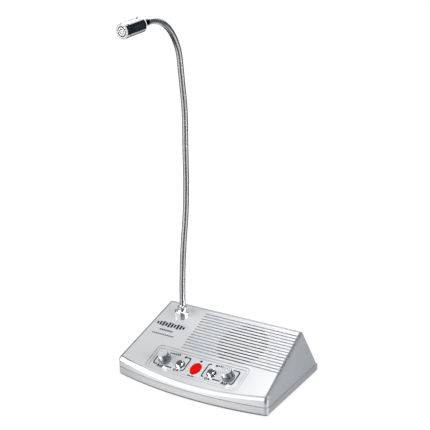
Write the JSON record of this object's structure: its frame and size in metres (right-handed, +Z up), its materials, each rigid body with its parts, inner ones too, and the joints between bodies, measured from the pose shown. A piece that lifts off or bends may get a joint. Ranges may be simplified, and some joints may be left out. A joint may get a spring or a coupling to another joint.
{
  "type": "desktop intercom console with gooseneck microphone",
  "caption": "Sloped desktop intercom console with slotted loudspeaker grille, knobs, push buttons and a tall gooseneck microphone on its rear left corner.",
  "frame": {"origin": "middle of the whole model's box, on the desk under the rubber feet", "axes": "+Z up; the user sits in front at -Y and faces +Y; +X is to the user's right"},
  "size_m": [0.1938, 0.1482, 0.3958],
  "materials": {
    "painted_shell": "satin silver-grey painted ABS",
    "painted_tray": "satin light grey painted ABS",
    "chrome_trim": "bright chrome plate",
    "steel": "plain zinc-plated steel",
    "gooseneck_steel": "satin chrome gooseneck",
    "mic_metal": "polished chrome on brass",
    "dark_ferrule": "dark nickel",
    "red_plastic": "glossy red",
    "pale_plastic": "pale clear-grey",
    "led_lens": "dark tinted lens, unlit",
    "black_plastic": "black moulded plastic",
    "rubber": "black rubber",
    "board": "green glass-epoxy board",
    "aluminium": "extruded aluminium",
    "foam": "dark foam",
    "dark_cloth": "dark speaker cloth",
    "paper_cone": "black paper cone",
    "ferrite": "ferrite magnet and steel yoke"
  },
  "bodies": {
    "console": {"base_tray": "painted_tray", "button_ring_left": "chrome_trim", "button_ring_right": "chrome_trim", "capacitors": "black_plastic", "case_screws": "steel", "control_board": "board", "control_board_screws": "steel", "dc_inlet": "black_plastic", "heat_sink": "aluminium", "main_board": "board", "main_board_screws": "steel", "neck_collar": "chrome_trim", "neck_gland": "chrome_trim", "neck_nut": "steel", "neck_root": "gooseneck_steel", "neck_stem": "steel", "neck_washer": "steel", "outstation_socket": "black_plastic", "power_bezel": "pale_plastic", "power_switch": "black_plastic", "record_socket": "black_plastic", "rubber_feet": "rubber", "socket_nuts": "steel", "speaker_clips": "steel", "speaker_cone": "paper_cone", "speaker_frame": "steel", "speaker_gasket": "foam", "speaker_magnet": "ferrite", "speaker_screen": "dark_cloth", "speaker_screws": "steel", "status_leds": "led_lens", "talk_switch_left": "black_plastic", "talk_switch_right": "black_plastic", "top_housing": "painted_shell", "volume_pot_left": "black_plastic", "volume_pot_right": "black_plastic"},
    "knob_left": {"volume_knob_left": "chrome_trim", "pot_shaft_left": "steel"},
    "knob_right": {"volume_knob_right": "chrome_trim", "pot_shaft_right": "steel"},
    "talk_button_left": {"talk_button_left": "chrome_trim"},
    "talk_button_right": {"talk_button_right": "chrome_trim"},
    "power_button": {"power_button": "red_plastic"},
    "neck_1": {"neck_link_1": "gooseneck_steel"},
    "neck_2": {"neck_link_2": "gooseneck_steel"},
    "neck_3": {"neck_link_3": "gooseneck_steel"},
    "neck_4": {"neck_link_4": "gooseneck_steel"},
    "neck_5": {"neck_link_5": "gooseneck_steel"},
    "neck_6": {"neck_link_6": "gooseneck_steel"},
    "neck_7": {"neck_link_7": "gooseneck_steel"},
    "neck_8": {"neck_link_8": "gooseneck_steel"},
    "neck_head": {"neck_link_9": "gooseneck_steel", "neck_ferrule": "dark_ferrule", "mic_rear_cap": "mic_metal", "mic_body": "mic_metal", "mic_liner": "foam", "mic_capsule": "aluminium", "capsule_holder": "rubber", "mic_front_cap": "mic_metal"}
  },
  "joints": [
    {"name": "volume_turn_left", "type": "hinge", "parent": "console", "child": "knob_left", "pos_m": [-0.0412, -0.04236, 0.02817], "axis": [0, -0.4399, 0.898], "range_deg": [-150, 150]},
    {"name": "volume_turn_right", "type": "hinge", "parent": "console", "child": "knob_right", "pos_m": [0.0412, -0.04236, 0.02817], "axis": [0, -0.4399, 0.898], "range_deg": [-150, 150]},
    {"name": "talk_press_left", "type": "slide", "parent": "console", "child": "talk_button_left", "axis": [0, -0.4399, 0.898], "range_m": [-0.0015, 0], "stiffness_N_per_m": 800, "springref_m": 0.0006},
    {"name": "talk_press_right", "type": "slide", "parent": "console", "child": "talk_button_right", "axis": [0, -0.4399, 0.898], "range_m": [-0.0015, 0], "stiffness_N_per_m": 800, "springref_m": 0.0006},
    {"name": "power_press", "type": "slide", "parent": "console", "child": "power_button", "axis": [0, -0.4399, 0.898], "range_m": [-0.0015, 0], "stiffness_N_per_m": 800, "springref_m": 0.0006},
    {"name": "neck_bend_1", "type": "hinge", "parent": "console", "child": "neck_1", "pos_m": [-0.05981, 0.01647, 0.0822], "axis": [0.9973, -0.0732, 0], "range_deg": [-25, 25]},
    {"name": "neck_sway_2", "type": "hinge", "parent": "neck_1", "child": "neck_2", "pos_m": [-0.05972, 0.01768, 0.11977], "axis": [-0.0731, -0.9952, 0.0645], "range_deg": [-25, 25]},
    {"name": "neck_bend_3", "type": "hinge", "parent": "neck_2", "child": "neck_3", "pos_m": [-0.05945, 0.02134, 0.15719], "axis": [0.9973, -0.0732, 0], "range_deg": [-25, 25]},
    {"name": "neck_sway_4", "type": "hinge", "parent": "neck_3", "child": "neck_4", "pos_m": [-0.05924, 0.02431, 0.19465], "axis": [-0.0732, -0.9969, 0.0279], "range_deg": [-25, 25]},
    {"name": "neck_bend_5", "type": "hinge", "parent": "neck_4", "child": "neck_5", "pos_m": [-0.05924, 0.02422, 0.23224], "axis": [0.9973, -0.0732, 0], "range_deg": [-25, 25]},
    {"name": "neck_sway_6", "type": "hinge", "parent": "neck_5", "child": "neck_6", "pos_m": [-0.05928, 0.02366, 0.26984], "axis": [-0.0732, -0.9973, 0.0035], "range_deg": [-25, 25]},
    {"name": "neck_bend_7", "type": "hinge", "parent": "neck_6", "child": "neck_7", "pos_m": [-0.05947, 0.02108, 0.30732], "axis": [0.9973, -0.0732, 0], "range_deg": [-30, 25]},
    {"name": "neck_sway_8", "type": "hinge", "parent": "neck_7", "child": "neck_8", "pos_m": [-0.05984, 0.01605, 0.34458], "axis": [-0.0726, -0.9892, -0.1271], "range_deg": [-30, 30]},
    {"name": "neck_bend_9", "type": "hinge", "parent": "neck_8", "child": "neck_head", "pos_m": [-0.061, 0.00024, 0.37798], "axis": [0.9973, -0.0732, 0], "range_deg": [-45, 15]}
  ]
}
